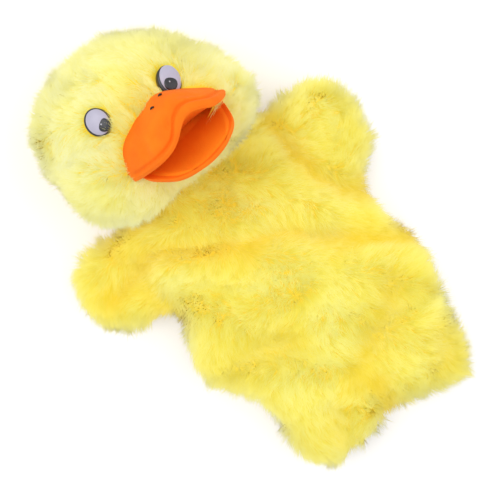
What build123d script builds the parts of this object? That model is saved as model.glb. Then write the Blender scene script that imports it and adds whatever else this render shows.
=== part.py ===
from build123d import *
import os

# Duck hand puppet with a moving mouth, lying on its back with its bill pointing up.
#
# Units are millimetres. +Z is up from the table, +Y runs from the hem to the crown of the head, and +X is
# the puppet's own left. The plush panels are drawn with their pile, so their outer faces lie where the
# dense part of the fur ends. All parts are drawn in one frame and moved together by PLACE at the end.

# Plush fabric with its pile, then the thinner bill cloth, mouth cloth and boards.
PLUSH = 6.0
BILL_CLOTH = 2.2
LINING = 1.2
BOARD = 1.6
CLEAR = 0.6

# Body sleeve: ellipses across the body at stations along Y, as (y, right side, left side, height).
# They run from the neck past the armpits and the waist to the hem.
SINK = 2.0
SLEEVE_STATIONS = [
    (50, -36, 40, 27),
    (22, -46, 48, 33),
    (-8, -52, 51, 36),
    (-46, -76, 70, 36),
    (-72, -69, 76, 34),
    (-98, -60, 70, 32),
    (-124, -62, 62, 30),
    (-156, -60, 62, 29),
]
SEAM_Z = 13.0

# The hem's edge, which runs round the two short feet.
HEM_EDGE = [
    (-78, -116),
    (-60, -122),
    (-50, -136),
    (-28, -141),
    (-3, -133),
    (18, -142),
    (42, -150),
    (56, -138),
    (64, -120),
    (80, -112),
]
FACING = 1.6
FACING_DEPTH = (-128.0, -112.0)
NECK_PASSAGE = (27, 9, 14)

# Wings: pillow-shaped paddles, each hinged on a line along its root.
WING_CENTRE_RIGHT = (-62, 27, 13)
WING_RADII_RIGHT = (42, 33, 14)
WING_CENTRE_LEFT = (62, 16, 13)
WING_RADII_LEFT = (43, 37, 14)
WING_ROOT_X = 52.5
ROOT_CLOTH = 2.0
ARMPIT_Y = -6.0

# Head: an egg lying across the body, flat where it rests on the table. It nods about an axis in the neck.
HEAD_CENTRE = (-2, 96, 46)
HEAD_HALF_WIDTH = 64.0
HEAD_RADIUS = 50.0
HEAD_SEAM_Z = 44.0
CROWN_HALF_WIDTH = 20.0
CROWN_START = 86.0
NECK_AXIS = (46, 14)
NECK_ROOM_RADIUS = 17.6

# Bill, in a frame at the middle of the hinge line of the mouth: local x runs along the hinge to the
# puppet's left, local y towards the crown and local z out of the face.
MOUTH_CENTRE = (10, 68, 74)
MOUTH_ROLL = 4.7
MOUTH_YAW = 10.0
MOUTH_LEAN = -3.5
JAW_REST_OPEN = 28.0
UPPER_RADII = (35, 24, 40)
LOWER_RADII = (34, 13, 36)
HINGE_LAND = 1.2
CHIN_HALF_WIDTH = 38.0
CHIN_TOP = 4.0
CHIN_GAP = 7.5
FINGER_POCKET = (46, 10, 24)
THUMB_POCKET = (22, 5, 20)
HAND_HALF_WIDTH = 28.0
HAND_DEPTH = 14.0
HAND_REACH = 56.0
NOSTRIL = (4.6, 18.6, 0.7, 3.4)

# Eyes: where each one sits on the head, its dome, its pupil and the parts of its snap-in shank.
EYE_RIGHT = (-19, 108)
EYE_LEFT = (29, 101)
EYE_RADII = (7.4, 8.8, 4.4)
PUPIL_RADII = (4.4, 5.0)
PUPIL_OFFSET = (0.6, -3.0)
SHANK_RADIUS = 2.0
SHANK_LENGTH = 11.0
WASHER_RADIUS = 5.5
WASHER_THICKNESS = 1.6

# Moves everything so that the origin is on the table under the middle of the whole puppet.
PLACE = (-0.5, 1.75, 0)
POLES_ACROSS = (40, 90, 0)
FAR = 300.0


def ellipsoid(centre, radii, inset=0.0, turn=(0, 0, 40)):
    """A closed ellipsoid, smaller by inset on every side. Its poles are turned clear of later cuts."""
    with BuildPart(mode=Mode.PRIVATE) as ball:
        Sphere(1, rotation=turn)
    sized = scale(ball.part, by=tuple(r - inset for r in radii), mode=Mode.PRIVATE)
    return Pos(*centre) * sized


def block(x, y, z):
    """A box given by its two limits along each axis."""
    with BuildPart(mode=Mode.PRIVATE) as box:
        with Locations(((x[0] + x[1]) / 2, (y[0] + y[1]) / 2, (z[0] + z[1]) / 2)):
            Box(x[1] - x[0], y[1] - y[0], z[1] - z[0])
    return box.part


def everywhere_above(height):
    return block((-FAR, FAR), (-FAR, FAR), (height, FAR))


def everywhere_below(height):
    return block((-FAR, FAR), (-FAR, FAR), (-FAR, height))


def sleeve_loft(inset):
    """The body's rounded form, smaller by inset all round but no shorter at the hem."""
    with BuildPart(mode=Mode.PRIVATE) as form:
        for y, right, left, height in SLEEVE_STATIONS:
            centre = ((left + right) / 2, min(y, 50 - inset), height / 2 - SINK)
            with BuildSketch(Plane(origin=centre, x_dir=(1, 0, 0), z_dir=(0, -1, 0))):
                Ellipse((left - right) / 2 - inset, height / 2 - inset)
        loft()
    return form.part


def hem_cut():
    """All the space below the hem's edge."""
    with BuildPart(mode=Mode.PRIVATE) as cut:
        with BuildSketch(Plane.XY.offset(-20)):
            with BuildLine():
                edge = Spline(*HEM_EDGE)
                Polyline(edge @ 0, (edge @ 0).X * Vector(1, 0) + Vector(0, -200), (80, -200), edge @ 1)
            make_face()
        extrude(amount=100)
    return cut.part


def body_shell():
    """The body's two panels together, hollow and open at the hem and the neck."""
    with BuildPart(mode=Mode.PRIVATE) as shell:
        add(sleeve_loft(0))
        add(sleeve_loft(PLUSH), mode=Mode.SUBTRACT)
        add(neck_passage(), mode=Mode.SUBTRACT)
        add(hem_cut(), mode=Mode.SUBTRACT)
        add(everywhere_above(0), mode=Mode.INTERSECT)
    return shell.part


def hem_facing_band():
    """The cloth band that lines the hem just inside the hand opening."""
    with BuildPart(mode=Mode.PRIVATE) as band:
        add(sleeve_loft(PLUSH))
        add(sleeve_loft(PLUSH + FACING), mode=Mode.SUBTRACT)
        add(block((-FAR, FAR), FACING_DEPTH, (-20, 80)), mode=Mode.INTERSECT)
    return band.part


def neck_passage():
    """The way from the sleeve into the head."""
    half_width, half_height, z = NECK_PASSAGE
    with BuildPart(mode=Mode.PRIVATE) as tube:
        with BuildSketch(Plane(origin=(0, 70, z), x_dir=(1, 0, 0), z_dir=(0, -1, 0))):
            Ellipse(half_width, half_height)
        extrude(amount=60)
    return tube.part


def wing_shell(centre, radii, side):
    """One wing's fur pillow, closed along its root and clear of the body."""
    with BuildPart(mode=Mode.PRIVATE) as shell:
        add(ellipsoid(centre, radii, 0, POLES_ACROSS))
        add(wing_space(side, 0), mode=Mode.INTERSECT)
        add(sleeve_loft(-CLEAR), mode=Mode.SUBTRACT)
        add(wing_fill(centre, radii, side), mode=Mode.SUBTRACT)
    return shell.part


def wing_space(side, inset):
    """The half of space outside one wing's root and above the table."""
    limits = sorted((side * (WING_ROOT_X + inset), side * FAR))
    return block(limits, (-FAR, FAR), (0, FAR))


def wing_fill(centre, radii, side):
    """The loose stuffing inside one wing."""
    with BuildPart(mode=Mode.PRIVATE) as fill:
        add(ellipsoid(centre, radii, PLUSH, POLES_ACROSS))
        add(wing_space(side, ROOT_CLOTH), mode=Mode.INTERSECT)
        add(block((-FAR, FAR), (ARMPIT_Y, FAR), (-FAR, FAR)), mode=Mode.INTERSECT)
    return fill.part


def split_top(shape, height):
    with BuildPart(mode=Mode.PRIVATE) as top:
        add(shape)
        add(everywhere_above(height), mode=Mode.INTERSECT)
    return top.part


def split_bottom(shape, height):
    with BuildPart(mode=Mode.PRIVATE) as bottom:
        add(shape)
        add(everywhere_below(height), mode=Mode.INTERSECT)
    return bottom.part


def mouth_frame(opening=0.0):
    """The bill's frame, turned about the hinge line by opening degrees towards the chest."""
    at = Location(MOUTH_CENTRE) * Rotation(0, 0, MOUTH_ROLL) * Rotation(0, MOUTH_YAW, 0)
    return at * Rotation(MOUTH_LEAN + opening, 0, 0)


def bill_half(radii, inset, side, start=0.0):
    """One half of the bill in its own frame: side is +1 for the upper half and -1 for the lower."""
    y_limits = sorted((side * start, side * FAR))
    with BuildPart(mode=Mode.PRIVATE) as half:
        add(ellipsoid((0, 0, 0), radii, inset))
        add(block((-FAR, FAR), y_limits, (HINGE_LAND, FAR)), mode=Mode.INTERSECT)
    return half.part


def bill_cover(radii, side):
    with BuildPart(mode=Mode.PRIVATE) as cover:
        add(bill_half(radii, 0, side))
        add(bill_half(radii, BILL_CLOTH, side), mode=Mode.SUBTRACT)
    return cover.part


def bill_layer(radii, side, low, high):
    """A flat layer of one bill half between two heights from the middle of the mouth."""
    with BuildPart(mode=Mode.PRIVATE) as layer:
        add(bill_half(radii, BILL_CLOTH, side, low))
        y_limits = sorted((side * high, side * FAR))
        add(block((-FAR, FAR), y_limits, (-FAR, FAR)), mode=Mode.SUBTRACT)
    return layer.part


def pocket(size, side):
    """The slot for fingers or thumb, lying against the mouth board."""
    width, height, depth = size
    base = LINING + BOARD
    y_limits = sorted((side * base, side * (base + height)))
    return block((-width / 2, width / 2), y_limits, (-30, depth))


def bill_padding(radii, side, hollow):
    with BuildPart(mode=Mode.PRIVATE) as padding:
        add(bill_half(radii, BILL_CLOTH, side, LINING + BOARD))
        add(pocket(hollow, side), mode=Mode.SUBTRACT)
    return padding.part


def nostril_threads():
    """Two short slanting stitches laid in the top of the upper bill."""
    across, up, radius, length = NOSTRIL
    rx, ry, rz = UPPER_RADII
    out = rz * (1 - (across / rx) ** 2 - (up / ry) ** 2) ** 0.5
    with BuildPart(mode=Mode.PRIVATE) as threads:
        with Locations(
            Location((-across, up, out), (50, 24, 0)),
            Location((across, up, out), (50, -24, 0)),
        ):
            Cylinder(radius, length)
    return threads.part


def head_form(inset):
    """The head's egg, smaller by inset all round: an ellipse turned about the line from ear to ear."""
    half_width = HEAD_HALF_WIDTH - inset
    radius = HEAD_RADIUS - inset
    with BuildPart(mode=Mode.PRIVATE) as egg:
        with BuildSketch(Plane.XY):
            Ellipse(half_width, radius)
            with Locations((0, FAR / 2)):
                Rectangle(FAR, FAR, mode=Mode.SUBTRACT)
        revolve(axis=Axis.X)
    with BuildPart(mode=Mode.PRIVATE) as form:
        add(Pos(*HEAD_CENTRE) * egg.part)
        add(everywhere_above(0), mode=Mode.INTERSECT)
    return form.part


def chin_slab(half_width, top, bottom):
    """The part of the head that belongs to the jaw: from a height above the seam up to the palate."""
    slab = mouth_frame() * block((-half_width, half_width), (-FAR, top), (-FAR, FAR))
    with BuildPart(mode=Mode.PRIVATE) as space:
        add(slab)
        add(everywhere_above(bottom), mode=Mode.INTERSECT)
    return space.part


def neck_room():
    """The space round the neck axis that the head leaves free for the body as it nods."""
    y, z = NECK_AXIS
    with BuildPart(mode=Mode.PRIVATE) as room:
        with BuildSketch(Plane(origin=(-FAR, y, z), x_dir=(0, 1, 0), z_dir=(1, 0, 0))):
            Circle(NECK_ROOM_RADIUS)
        extrude(amount=2 * FAR)
    return room.part


def eye_frame(spot):
    """A frame on the head's surface with its z axis along the surface's normal."""
    cx, cy, cz = HEAD_CENTRE
    u = (spot[0] - cx) / HEAD_HALF_WIDTH
    v = (spot[1] - cy) / HEAD_RADIUS
    w = (1 - u * u - v * v) ** 0.5
    normal = (u / HEAD_HALF_WIDTH, v / HEAD_RADIUS, w / HEAD_RADIUS)
    origin = (spot[0], spot[1], cz + HEAD_RADIUS * w)
    return Plane(origin=origin, x_dir=(1, 0.1, 0), z_dir=normal).location


def eye_dome(inset=0.0):
    with BuildPart(mode=Mode.PRIVATE) as dome:
        add(ellipsoid((0, 0, 0), EYE_RADII, inset))
        add(everywhere_below(0.1), mode=Mode.SUBTRACT)
    return dome.part


def pupil_disc():
    """The dark pupil, let into the white dome and standing slightly proud of it."""
    with BuildPart(mode=Mode.PRIVATE) as disc:
        with BuildSketch(Plane.XY.offset(0.9)):
            with Locations(PUPIL_OFFSET):
                Ellipse(*PUPIL_RADII)
        extrude(amount=10)
        add(eye_dome(-0.3), mode=Mode.INTERSECT)
    return disc.part


def eye_white():
    with BuildPart(mode=Mode.PRIVATE) as white:
        add(eye_dome())
        add(pupil_disc(), mode=Mode.SUBTRACT)
        with Locations((0, 0, -SHANK_LENGTH / 2 + 0.2)):
            Cylinder(SHANK_RADIUS, SHANK_LENGTH)
    return white.part


def eye_washer():
    with BuildPart(mode=Mode.PRIVATE) as washer:
        with Locations((0, 0, -PLUSH - 1.2 - WASHER_THICKNESS / 2)):
            Cylinder(WASHER_RADIUS, WASHER_THICKNESS)
            Cylinder(SHANK_RADIUS, WASHER_THICKNESS, mode=Mode.SUBTRACT)
    return washer.part


def eye_bore():
    """The hole for the shank through the fur."""
    with BuildPart(mode=Mode.PRIVATE) as bore:
        with Locations((0, 0, -SHANK_LENGTH / 2)):
            Cylinder(SHANK_RADIUS, SHANK_LENGTH + 2)
    return bore.part


def eye_recess():
    """The room that the shank's end and its washer take up in the stuffing."""
    with BuildPart(mode=Mode.PRIVATE) as recess:
        with Locations((0, 0, -SHANK_LENGTH / 2 - 1)):
            Cylinder(WASHER_RADIUS + 0.6, SHANK_LENGTH)
    return recess.part


def head_shell(body_room):
    """All of the head's fur above and below its seam, apart from the chin."""
    with BuildPart(mode=Mode.PRIVATE) as shell:
        add(head_form(0))
        add(head_form(PLUSH), mode=Mode.SUBTRACT)
        add(chin_slab(CHIN_HALF_WIDTH, 0.2, HEAD_SEAM_Z), mode=Mode.SUBTRACT)
        add(mouth_frame() * bill_half(UPPER_RADII, 0, 1), mode=Mode.SUBTRACT)
        add(body_room, mode=Mode.SUBTRACT)
        for spot in (EYE_RIGHT, EYE_LEFT):
            add(eye_frame(spot) * eye_bore(), mode=Mode.SUBTRACT)
    return shell.part


def chin_shell(body_room):
    """The fur under the lower bill, which the jaw carries."""
    with BuildPart(mode=Mode.PRIVATE) as shell:
        add(head_form(0))
        add(head_form(PLUSH), mode=Mode.SUBTRACT)
        add(chin_slab(CHIN_HALF_WIDTH - CLEAR, -CHIN_TOP, HEAD_SEAM_Z + CHIN_GAP), mode=Mode.INTERSECT)
        add(mouth_frame(JAW_REST_OPEN) * jaw_room(), mode=Mode.SUBTRACT)
        add(body_room, mode=Mode.SUBTRACT)
    return shell.part


def jaw_room():
    """The mouth's open space and the lower bill itself, in the jaw's frame."""
    with BuildPart(mode=Mode.PRIVATE) as room:
        add(block((-FAR, FAR), (0, FAR), (-FAR, FAR)))
        add(bill_half(LOWER_RADII, 0, -1))
        add(block((-FAR, FAR), (-6, 0.1), (-FAR, FAR)))
    return room.part


def head_fill(body_room):
    """The stuffing round the crown and the back of the head, hollow for the hand and the bill."""
    half_width, height, _ = UPPER_RADII
    hand = block((-FAR, FAR), (-FAR, 0.3), (-FAR, FAR))
    bill = block((-half_width - 1, half_width + 1), (-1, height + 1), (0.5, FAR))
    palm = block((-HAND_HALF_WIDTH, HAND_HALF_WIDTH), (-1, HAND_DEPTH), (-HAND_REACH, 1))
    with BuildPart(mode=Mode.PRIVATE) as fill:
        add(head_form(PLUSH))
        add(mouth_frame() * hand, mode=Mode.SUBTRACT)
        add(mouth_frame() * bill, mode=Mode.SUBTRACT)
        add(mouth_frame() * palm, mode=Mode.SUBTRACT)
        add(body_room, mode=Mode.SUBTRACT)
        for spot in (EYE_RIGHT, EYE_LEFT):
            add(eye_frame(spot) * eye_recess(), mode=Mode.SUBTRACT)
    return fill.part


def crown_strip():
    x0 = HEAD_CENTRE[0] - CROWN_HALF_WIDTH
    x1 = HEAD_CENTRE[0] + CROWN_HALF_WIDTH
    return block((x0, x1), (CROWN_START, FAR), (HEAD_SEAM_Z, FAR))


# Torso.
shell = body_shell()

with BuildPart() as body_front_panel:
    add(split_top(shell, SEAM_Z))

with BuildPart() as body_back_panel:
    add(split_bottom(shell, SEAM_Z))

with BuildPart() as hem_facing:
    add(hem_facing_band())

# Wings.
wing_seam = WING_CENTRE_RIGHT[2]
right_shell = wing_shell(WING_CENTRE_RIGHT, WING_RADII_RIGHT, -1)
left_shell = wing_shell(WING_CENTRE_LEFT, WING_RADII_LEFT, 1)

with BuildPart() as right_wing_front_panel:
    add(split_top(right_shell, wing_seam))

with BuildPart() as right_wing_back_panel:
    add(split_bottom(right_shell, wing_seam))

with BuildPart() as right_wing_stuffing:
    add(wing_fill(WING_CENTRE_RIGHT, WING_RADII_RIGHT, -1))

with BuildPart() as left_wing_front_panel:
    add(split_top(left_shell, wing_seam))

with BuildPart() as left_wing_back_panel:
    add(split_bottom(left_shell, wing_seam))

with BuildPart() as left_wing_stuffing:
    add(wing_fill(WING_CENTRE_LEFT, WING_RADII_LEFT, 1))

# Head.
nod_room = neck_room()
head_fur = head_shell(nod_room)
upper_fur = split_top(head_fur, HEAD_SEAM_Z)

with BuildPart() as head_back_panel:
    add(split_bottom(head_fur, HEAD_SEAM_Z))

with BuildPart() as head_crown_gusset:
    add(upper_fur)
    add(crown_strip(), mode=Mode.INTERSECT)

with BuildPart() as head_right_panel:
    add(upper_fur)
    add(crown_strip(), mode=Mode.SUBTRACT)
    add(block((-FAR, HEAD_CENTRE[0]), (-FAR, FAR), (0, FAR)), mode=Mode.INTERSECT)

with BuildPart() as head_left_panel:
    add(upper_fur)
    add(crown_strip(), mode=Mode.SUBTRACT)
    add(block((HEAD_CENTRE[0], FAR), (-FAR, FAR), (0, FAR)), mode=Mode.INTERSECT)

with BuildPart() as head_stuffing:
    add(head_fill(nod_room))

with BuildPart() as nostril_stitches:
    add(mouth_frame() * nostril_threads())

with BuildPart() as upper_bill_cover:
    add(mouth_frame() * bill_cover(UPPER_RADII, 1))
    add(nostril_stitches.part, mode=Mode.SUBTRACT)

with BuildPart() as upper_bill_padding:
    add(mouth_frame() * bill_padding(UPPER_RADII, 1, FINGER_POCKET))

with BuildPart() as upper_mouth_board:
    add(mouth_frame() * bill_layer(UPPER_RADII, 1, LINING, LINING + BOARD))

with BuildPart() as upper_mouth_lining:
    add(mouth_frame() * bill_layer(UPPER_RADII, 1, 0, LINING))

with BuildPart() as right_eye_white:
    add(eye_frame(EYE_RIGHT) * eye_white())

with BuildPart() as left_eye_white:
    add(eye_frame(EYE_LEFT) * eye_white())

with BuildPart() as right_eye_pupil:
    add(eye_frame(EYE_RIGHT) * pupil_disc())

with BuildPart() as left_eye_pupil:
    add(eye_frame(EYE_LEFT) * pupil_disc())

with BuildPart() as eye_washers:
    add(eye_frame(EYE_RIGHT) * eye_washer())
    add(eye_frame(EYE_LEFT) * eye_washer())

# Jaw.
with BuildPart() as chin_panel:
    add(chin_shell(nod_room))

with BuildPart() as lower_bill_cover:
    add(mouth_frame(JAW_REST_OPEN) * bill_cover(LOWER_RADII, -1))

with BuildPart() as lower_bill_padding:
    add(mouth_frame(JAW_REST_OPEN) * bill_padding(LOWER_RADII, -1, THUMB_POCKET))

with BuildPart() as lower_mouth_board:
    add(mouth_frame(JAW_REST_OPEN) * bill_layer(LOWER_RADII, -1, LINING, LINING + BOARD))

with BuildPart() as lower_mouth_lining:
    add(mouth_frame(JAW_REST_OPEN) * bill_layer(LOWER_RADII, -1, 0, LINING))

pieces = {
    "body_front_panel": body_front_panel,
    "body_back_panel": body_back_panel,
    "hem_facing": hem_facing,
    "right_wing_front_panel": right_wing_front_panel,
    "right_wing_back_panel": right_wing_back_panel,
    "right_wing_stuffing": right_wing_stuffing,
    "left_wing_front_panel": left_wing_front_panel,
    "left_wing_back_panel": left_wing_back_panel,
    "left_wing_stuffing": left_wing_stuffing,
    "head_back_panel": head_back_panel,
    "head_crown_gusset": head_crown_gusset,
    "head_right_panel": head_right_panel,
    "head_left_panel": head_left_panel,
    "head_stuffing": head_stuffing,
    "upper_bill_cover": upper_bill_cover,
    "upper_bill_padding": upper_bill_padding,
    "upper_mouth_board": upper_mouth_board,
    "upper_mouth_lining": upper_mouth_lining,
    "nostril_stitches": nostril_stitches,
    "right_eye_white": right_eye_white,
    "left_eye_white": left_eye_white,
    "right_eye_pupil": right_eye_pupil,
    "left_eye_pupil": left_eye_pupil,
    "eye_washers": eye_washers,
    "chin_panel": chin_panel,
    "lower_bill_cover": lower_bill_cover,
    "lower_bill_padding": lower_bill_padding,
    "lower_mouth_board": lower_mouth_board,
    "lower_mouth_lining": lower_mouth_lining,
}
os.makedirs("parts", exist_ok=True)
for name, piece in pieces.items():
    piece.part = Pos(*PLACE) * piece.part
    piece.part.label = name
    export_step(piece.part, f"parts/{name}.step")
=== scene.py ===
"""A yellow plush duck hand puppet lying on its back on a pale surface, with its orange bill open upwards.

Lengths in this script are millimetres in the puppet's own frame until a mesh is made, and metres after that.
"""

import math

import bmesh
import bpy
import numpy as np
from mathutils import Euler, Matrix, Vector, noise


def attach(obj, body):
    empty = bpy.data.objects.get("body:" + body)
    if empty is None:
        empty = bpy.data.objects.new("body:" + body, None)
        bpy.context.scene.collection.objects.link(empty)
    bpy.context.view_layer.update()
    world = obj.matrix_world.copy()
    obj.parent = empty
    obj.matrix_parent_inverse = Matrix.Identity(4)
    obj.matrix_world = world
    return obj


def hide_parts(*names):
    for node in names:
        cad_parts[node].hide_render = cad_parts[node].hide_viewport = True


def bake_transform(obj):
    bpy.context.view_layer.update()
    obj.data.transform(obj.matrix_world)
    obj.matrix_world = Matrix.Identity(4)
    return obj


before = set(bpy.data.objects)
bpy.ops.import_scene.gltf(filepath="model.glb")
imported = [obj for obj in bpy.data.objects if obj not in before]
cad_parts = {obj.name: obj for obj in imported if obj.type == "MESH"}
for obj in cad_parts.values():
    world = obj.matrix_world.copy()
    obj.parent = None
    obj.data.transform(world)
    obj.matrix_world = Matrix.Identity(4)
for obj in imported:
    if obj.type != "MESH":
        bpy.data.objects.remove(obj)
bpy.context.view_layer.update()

MM = 0.001

# The puppet's own frame, as in the CAD part.
PLACE = np.array([-0.5, 1.75, 0.0])
MOUTH = np.array([10.0, 68.0, 74.0]) + PLACE
MOUTH_TURN = (
    Euler((0, 0, math.radians(4.7))).to_matrix()
    @ Euler((0, math.radians(10), 0)).to_matrix()
    @ Euler((math.radians(-3.5), 0, 0)).to_matrix()
)
BILL_DROOP = 11.5
JAW_REST_OPEN = 28.0
UPPER = np.array(MOUTH_TURN @ Euler((math.radians(BILL_DROOP), 0, 0)).to_matrix())
LOWER = np.array(MOUTH_TURN @ Euler((math.radians(BILL_DROOP + JAW_REST_OPEN), 0, 0)).to_matrix())

# ---------------------------------------------------------------- camera

CAMERA_DISTANCE = 1.1
CAMERA_AIM = (-0.003, -0.0073, 0.0)
CAMERA_TILT = 0.0
CAMERA_ROLL = -41.5
FRAME_WIDTH = 0.305


def add_camera():
    """A camera above the puppet, turned so that it lies aslant as in the photograph."""
    data = bpy.data.cameras.new("camera")
    camera = bpy.data.objects.new("camera", data)
    bpy.context.scene.collection.objects.link(camera)
    data.sensor_width = 36.0
    data.lens = 36.0 * CAMERA_DISTANCE / FRAME_WIDTH
    data.clip_end = 20
    tilt = math.radians(CAMERA_TILT)
    roll = Matrix.Rotation(math.radians(CAMERA_ROLL), 4, "Z")
    back = Vector((0, -math.sin(tilt), math.cos(tilt)))
    back = roll @ back
    camera.location = Vector(CAMERA_AIM) + back * CAMERA_DISTANCE
    turn = roll @ Matrix.Rotation(tilt, 4, "X")
    camera.rotation_euler = turn.to_euler()
    bpy.context.scene.camera = camera


add_camera()

# ---------------------------------------------------------------- materials


def material(name):
    made = bpy.data.materials.new(name)
    made.use_nodes = True
    nodes = made.node_tree.nodes
    return made, nodes, made.node_tree.links, nodes["Principled BSDF"]


def ramp(nodes, stops):
    """A colour ramp with the given (position, colour) stops."""
    node = nodes.new("ShaderNodeValToRGB")
    while len(node.color_ramp.elements) < len(stops):
        node.color_ramp.elements.new(0.5)
    for element, (at, color) in zip(node.color_ramp.elements, stops):
        element.position = at
        element.color = (*color, 1)
    return node


def cloth_material(name, stops, scale, roughness, sheen, bump=0.0, bump_scale=900):
    """Short-pile or woven cloth: colour varied by soft noise, with an optional fine bump."""
    made, nodes, links, shader = material(name)
    coords = nodes.new("ShaderNodeTexCoord")
    grain = nodes.new("ShaderNodeTexNoise")
    grain.inputs["Scale"].default_value = scale
    grain.inputs["Detail"].default_value = 5
    links.new(coords.outputs["Object"], grain.inputs["Vector"])
    colors = ramp(nodes, stops)
    links.new(grain.outputs["Fac"], colors.inputs["Fac"])
    links.new(colors.outputs["Color"], shader.inputs["Base Color"])
    shader.inputs["Roughness"].default_value = roughness
    shader.inputs["Specular IOR Level"].default_value = 0.2
    shader.inputs["Sheen Weight"].default_value = sheen
    shader.inputs["Sheen Roughness"].default_value = 0.5
    if bump:
        fine = nodes.new("ShaderNodeTexNoise")
        fine.inputs["Scale"].default_value = bump_scale
        fine.inputs["Detail"].default_value = 3
        links.new(coords.outputs["Object"], fine.inputs["Vector"])
        lift = nodes.new("ShaderNodeBump")
        lift.inputs["Strength"].default_value = bump
        lift.inputs["Distance"].default_value = 0.0006
        links.new(fine.outputs["Fac"], lift.inputs["Height"])
        links.new(lift.outputs["Normal"], shader.inputs["Normal"])
    return made


def plain_material(name, color, roughness, coat=0.0):
    """Moulded plastic or thread: one colour with a trace of unevenness."""
    made, nodes, links, shader = material(name)
    coords = nodes.new("ShaderNodeTexCoord")
    grain = nodes.new("ShaderNodeTexNoise")
    grain.inputs["Scale"].default_value = 180
    links.new(coords.outputs["Object"], grain.inputs["Vector"])
    colors = ramp(nodes, [(0.3, tuple(0.94 * c for c in color)), (0.7, color)])
    links.new(grain.outputs["Fac"], colors.inputs["Fac"])
    links.new(colors.outputs["Color"], shader.inputs["Base Color"])
    shader.inputs["Roughness"].default_value = roughness
    shader.inputs["Coat Weight"].default_value = coat
    shader.inputs["Coat Roughness"].default_value = 0.08
    return made


def fur_material(name):
    """Fur strands: deeper at the root and pale at the tip, read from each strand's vertex colour, which also
    holds painted shade in the hollows and a painted sheen at the sides.
    """
    made, nodes, links, shader = material(name)
    tint = nodes.new("ShaderNodeVertexColor")
    tint.layer_name = "strand"
    links.new(tint.outputs["Color"], shader.inputs["Base Color"])
    shader.inputs["Roughness"].default_value = 0.7
    shader.inputs["Specular IOR Level"].default_value = 0.1
    return made


SKIN = cloth_material(
    "plush backing", [(0.35, (0.8, 0.55, 0.03)), (0.65, (0.84, 0.63, 0.05))], 60, 0.9, 0.0
)
FUR = fur_material("plush pile")
ORANGE = cloth_material(
    "bill cloth",
    [(0.3, (0.84, 0.145, 0.003)), (0.55, (0.87, 0.17, 0.004)), (0.75, (0.89, 0.2, 0.006))],
    70,
    0.85,
    0.0,
    bump=0.35,
)
# Painted light: the mouth cloth is painted a lighter orange than the bill's cloth, to make up for the shade
# inside the mouth.
MOUTH_CLOTH_PAINTED_LIGHT = cloth_material(
    "mouth cloth", [(0.3, (0.88, 0.2, 0.005)), (0.7, (0.92, 0.24, 0.007))], 60, 0.85, 0.0, bump=0.3
)
EYE_WHITE = plain_material("eye white", (0.42, 0.4, 0.5), 0.4)
EYE_BLACK = plain_material("eye black", (0.016, 0.016, 0.02), 0.4, coat=0.1)
EYE_SPARK = plain_material("eye highlight", (0.4, 0.4, 0.45), 0.4)
THREAD = plain_material("black thread", (0.015, 0.013, 0.012), 0.7)
FACING_CLOTH = cloth_material(
    "facing cloth", [(0.3, (0.85, 0.6, 0.08)), (0.7, (0.92, 0.7, 0.12))], 300, 0.9, 0.2, bump=0.4
)

# ---------------------------------------------------------------- mesh helpers


def make_mesh(name, points_mm, faces, skin):
    """A smooth-shaded mesh object from points in millimetres."""
    data = bpy.data.meshes.new(name)
    data.from_pydata([tuple(float(c) * MM for c in p) for p in points_mm], [], [tuple(f) for f in faces])
    data.validate()
    data.update()
    obj = bpy.data.objects.new(name, data)
    bpy.context.scene.collection.objects.link(obj)
    data.materials.append(skin)
    for polygon in data.polygons:
        polygon.use_smooth = True
    return obj


def points_of(obj):
    co = np.empty(len(obj.data.vertices) * 3)
    obj.data.vertices.foreach_get("co", co)
    return co.reshape(-1, 3) / MM


def set_points(obj, points_mm):
    obj.data.vertices.foreach_set("co", (points_mm * MM).ravel())
    obj.data.update()


def apply_modifiers(obj):
    depsgraph = bpy.context.evaluated_depsgraph_get()
    done = bpy.data.meshes.new_from_object(obj.evaluated_get(depsgraph))
    obj.modifiers.clear()
    obj.data = done
    return obj


def near_segments(points, line):
    """Each point's distance to a polyline in the plane, and how far along the line it is, from 0 to 1."""
    line = np.asarray(line, float)
    best = np.full(len(points), 1e9)
    along = np.zeros(len(points))
    steps = np.linalg.norm(np.diff(line, axis=0), axis=1)
    total = steps.sum()
    start = 0.0
    for a, b, step in zip(line[:-1], line[1:], steps):
        d = b - a
        t = np.clip(((points - a) @ d) / (d @ d), 0, 1)
        gap = np.linalg.norm(points - (a + t[:, None] * d), axis=1)
        closer = gap < best
        best[closer] = gap[closer]
        along[closer] = (start + t[closer] * step) / total
        start += step
    return best, along


def inside_outline(points, line):
    """True for the points inside a closed outline."""
    x, y = points[:, 0], points[:, 1]
    inside = np.zeros(len(points), bool)
    for (x0, y0), (x1, y1) in zip(line, np.roll(line, -1, axis=0)):
        crosses = (y0 > y) != (y1 > y)
        if y0 != y1:
            inside ^= crosses & (x < (x1 - x0) * (y - y0) / (y1 - y0) + x0)
    return inside


def smooth_closed(corners, samples):
    """A closed Catmull-Rom curve through the given corners."""
    p = np.asarray(corners, float)
    out = []
    for i in range(len(p)):
        a, b, c, d = p[i - 1], p[i], p[(i + 1) % len(p)], p[(i + 2) % len(p)]
        for t in np.linspace(0, 1, samples, endpoint=False):
            out.append(
                0.5
                * (
                    2 * b
                    + (c - a) * t
                    + (2 * a - 5 * b + 4 * c - d) * t * t
                    + (3 * b - a - 3 * c + d) * t ** 3
                )
            )
    return np.array(out)


def inset(outline, gap):
    """A closed outline moved inwards by a gap."""
    along = np.roll(outline, -2, axis=0) - np.roll(outline, 2, axis=0)
    across = np.stack([-along[:, 1], along[:, 0]], 1)
    across /= np.linalg.norm(across, axis=1)[:, None]
    x, y = outline[:, 0], outline[:, 1]
    turn = np.sign(np.sum(x * np.roll(y, -1) - y * np.roll(x, -1)))
    return outline + across * gap * turn


# ---------------------------------------------------------------- the body and wings: one padded skin

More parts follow.
